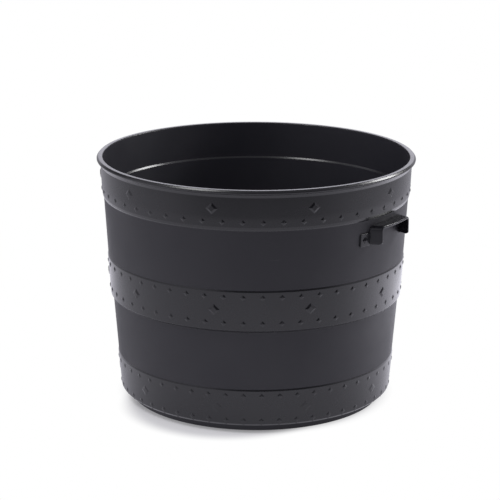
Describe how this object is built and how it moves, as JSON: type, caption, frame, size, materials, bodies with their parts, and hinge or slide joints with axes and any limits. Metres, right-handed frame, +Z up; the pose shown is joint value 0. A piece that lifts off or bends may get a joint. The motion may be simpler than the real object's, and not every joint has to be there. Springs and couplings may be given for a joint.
{
  "type": "planter tub",
  "caption": "Round tapered black plastic planter tub with raised stud-patterned bands, a flared rim, strap lifting handles on opposite sides and a drained floor on a foot ring.",
  "frame": {"origin": "on the ground, at the centre of the foot ring", "axes": "+Z up along the tub's axis, +X through the right handle, +Y towards the back"},
  "size_m": [0.463, 0.4508, 0.3488],
  "materials": {
    "shell_plastic": "fine satin moulded surface, slightly glossier on the raised bands and rim",
    "handle_plastic": "smooth moulded surface with a soft sheen",
    "rivet_plastic": "smooth moulded surface"
  },
  "bodies": {
    "root": {"tub_shell": "shell_plastic", "handle_right": "handle_plastic", "handle_left": "handle_plastic", "handle_rivets": "rivet_plastic"}
  },
  "joints": []
}
